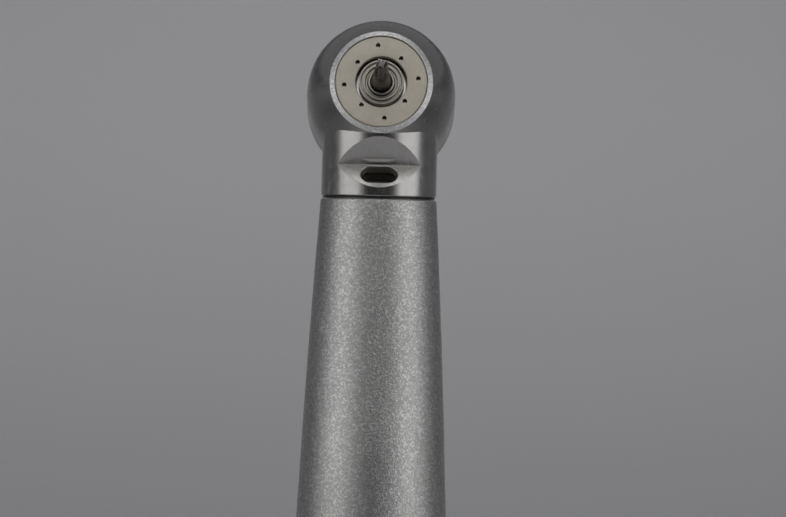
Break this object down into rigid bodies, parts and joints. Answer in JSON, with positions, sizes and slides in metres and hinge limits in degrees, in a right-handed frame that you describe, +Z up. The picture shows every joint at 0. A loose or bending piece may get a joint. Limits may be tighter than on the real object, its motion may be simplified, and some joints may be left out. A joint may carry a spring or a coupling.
{
  "type": "dental handpiece",
  "caption": "Kneed high speed dental turbine handpiece with push-button chuck, cutting bur, spray face, lit neck notch and multi-pipe hose end.",
  "frame": {"origin": "centre of the flat end face that the hose seats on", "axes": "+Z up the straight grip towards the head; the neck leans towards +Y and the bur points towards -Y"},
  "size_m": [0.015, 0.0301, 0.1269],
  "materials": {
    "polished_steel": "polished stainless steel",
    "blasted_steel": "sand-blasted stainless steel",
    "satin_nickel": "satin nickel plate, faintly warm",
    "turned_steel": "fine turned steel",
    "race_steel": "ground bearing steel",
    "ball_steel": "lapped",
    "spring_steel": "drawn wire and strip",
    "rotor_aluminium": "milled",
    "carbide": "ground dark carbide",
    "tube_steel": "drawn stainless tube",
    "brass": "machined",
    "contact_gold": "plated",
    "lead_insulation": "extruded",
    "seal_rubber": "moulded",
    "cage_polymer": "fibre-filled polymer",
    "lamp_body": "clear lens over a white base",
    "holder_aluminium": "turned",
    "glass_rod": "polished fibre rod"
  },
  "bodies": {
    "handpiece_body": {"head_housing": "polished_steel", "neck_manifold": "brass", "neck_seal_ring": "seal_rubber", "spray_plate": "satin_nickel", "back_cap": "polished_steel", "cap_inner_plate": "turned_steel", "button_spring": "spring_steel", "front_bearing_outer_race": "race_steel", "front_o_ring": "seal_rubber", "rear_bearing_outer_race": "race_steel", "rear_o_ring": "seal_rubber", "preload_washer": "spring_steel", "body_sleeve": "blasted_steel", "rear_collar": "polished_steel", "sleeve_o_ring": "seal_rubber", "connector_body": "polished_steel", "exhaust_pipe": "tube_steel", "drive_air_tube": "tube_steel", "water_tube": "tube_steel", "chip_air_tube": "tube_steel", "light_guide": "glass_rod", "lamp": "lamp_body", "lamp_holder": "holder_aluminium", "contact_pin_left": "contact_gold", "contact_pin_right": "contact_gold", "lamp_lead_left": "lead_insulation", "lamp_lead_right": "lead_insulation"},
    "push_button": {"push_button": "polished_steel"},
    "rotor": {"spindle": "turned_steel", "impeller": "rotor_aluminium", "chuck": "turned_steel", "front_bearing_inner_race": "race_steel", "rear_bearing_inner_race": "race_steel"},
    "front_ball_cage": {"front_bearing_cage": "cage_polymer", "front_ball_1": "ball_steel", "front_ball_2": "ball_steel", "front_ball_3": "ball_steel", "front_ball_4": "ball_steel", "front_ball_5": "ball_steel", "front_ball_6": "ball_steel", "front_ball_7": "ball_steel"},
    "rear_ball_cage": {"rear_bearing_cage": "cage_polymer", "rear_ball_1": "ball_steel", "rear_ball_2": "ball_steel", "rear_ball_3": "ball_steel", "rear_ball_4": "ball_steel", "rear_ball_5": "ball_steel", "rear_ball_6": "ball_steel", "rear_ball_7": "ball_steel"},
    "chuck_plunger": {"chuck_plunger": "turned_steel"},
    "bur": {"bur": "carbide"}
  },
  "joints": [
    {"name": "button_press", "type": "slide", "parent": "handpiece_body", "child": "push_button", "axis": [0, -0.866, 0.5], "range_m": [0, 0.0006], "stiffness_N_per_m": 4000, "springref_m": -0.0006, "deforming": ["button_spring"]},
    {"name": "turbine_spin", "type": "hinge", "parent": "handpiece_body", "child": "rotor", "pos_m": [0, 0.01302, 0.11436], "axis": [0, -0.866, 0.5], "continuous": true},
    {"name": "front_cage_spin", "type": "hinge", "parent": "handpiece_body", "child": "front_ball_cage", "pos_m": [0, 0.01177, 0.11509], "axis": [0, -0.866, 0.5], "continuous": true},
    {"name": "rear_cage_spin", "type": "hinge", "parent": "handpiece_body", "child": "rear_ball_cage", "pos_m": [0, 0.01657, 0.11231], "axis": [0, -0.866, 0.5], "continuous": true},
    {"name": "plunger_push", "type": "slide", "parent": "rotor", "child": "chuck_plunger", "axis": [0, -0.866, 0.5], "range_m": [0, 0.0006]},
    {"name": "bur_release", "type": "slide", "parent": "rotor", "child": "bur", "axis": [0, -0.866, 0.5], "range_m": [0, 0.013]}
  ],
  "couplings": [
    {"joint": "front_cage_spin", "follows": "turbine_spin", "ratio": 0.3958},
    {"joint": "rear_cage_spin", "follows": "turbine_spin", "ratio": 0.3958},
    {"joint": "plunger_push", "follows": "button_press", "ratio": 1}
  ]
}
